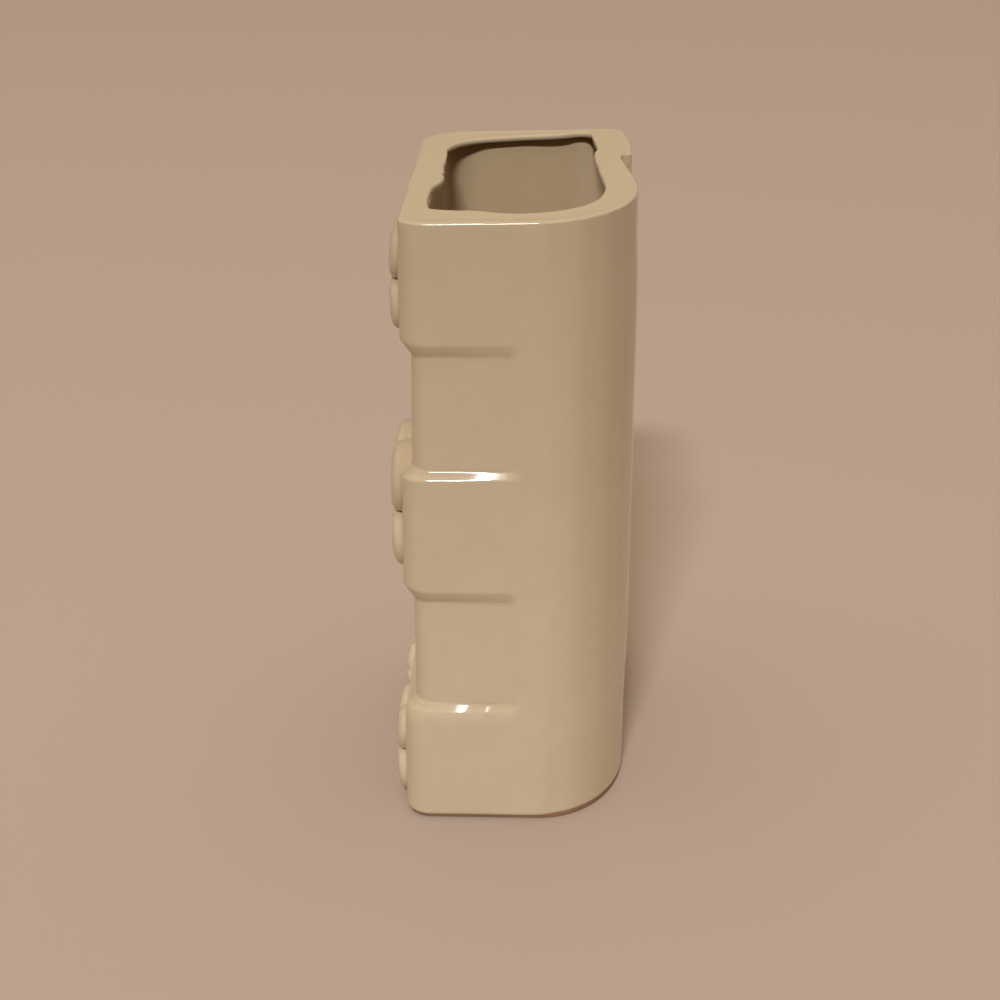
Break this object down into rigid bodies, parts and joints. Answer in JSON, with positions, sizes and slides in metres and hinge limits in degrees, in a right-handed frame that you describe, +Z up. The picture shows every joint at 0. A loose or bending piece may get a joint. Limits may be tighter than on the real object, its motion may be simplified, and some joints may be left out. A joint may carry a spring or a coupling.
{
  "type": "ceramic planter",
  "caption": "Tall free-standing glazed ceramic planter with raised bands and relief sprigs on its front, a rounded back and a shelf rim with a hand-cut opening.",
  "frame": {"origin": "middle of the bounding box in plan, at the height of the surface that the foot stands on", "axes": "+Z up; the banded front faces -Y; +X is the side whose back shoulder is broad and round"},
  "size_m": [0.124, 0.0738, 0.191],
  "materials": {
    "ivory_glaze": "gloss",
    "bare_clay": "matte"
  },
  "bodies": {
    "root": {"foot_ring": "bare_clay", "floor_slab": "ivory_glaze", "front_wall": "ivory_glaze", "rear_wall": "ivory_glaze", "rim_shelf": "ivory_glaze", "band_bottom": "ivory_glaze", "band_middle": "ivory_glaze", "band_top": "ivory_glaze", "blossom_bottom_near": "ivory_glaze", "leaves_bottom_centre": "ivory_glaze", "leaves_bottom_far": "ivory_glaze", "blossom_middle_near": "ivory_glaze", "leaves_middle_centre": "ivory_glaze", "leaves_middle_far": "ivory_glaze", "blossom_top_near": "ivory_glaze", "leaves_top_centre": "ivory_glaze", "leaves_top_far": "ivory_glaze"}
  },
  "joints": []
}
